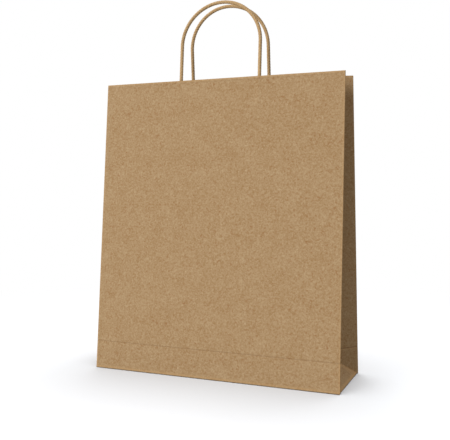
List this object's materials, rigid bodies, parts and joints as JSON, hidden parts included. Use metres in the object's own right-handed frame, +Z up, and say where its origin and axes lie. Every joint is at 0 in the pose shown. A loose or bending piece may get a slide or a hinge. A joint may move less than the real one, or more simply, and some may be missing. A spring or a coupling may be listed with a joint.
{
  "type": "paper carrier bag",
  "caption": "Plain brown kraft paper carrier bag, standing part open, with folded side gussets, a block bottom, a turned-in hem and twisted paper cord handles.",
  "frame": {"origin": "centre of the base, on the surface that the bag stands on", "axes": "+Z up through the mouth, +X across the front panel's width, -Y out of the front panel"},
  "size_m": [0.32, 0.1, 0.4686],
  "materials": {
    "kraft_sheet": "matt",
    "paper_cord": "matt",
    "patch_paper": "matt"
  },
  "bodies": {
    "root": {"bag_body": "kraft_sheet", "front_handle": "paper_cord", "back_handle": "paper_cord", "front_handle_patch": "patch_paper", "back_handle_patch": "patch_paper"}
  },
  "joints": []
}
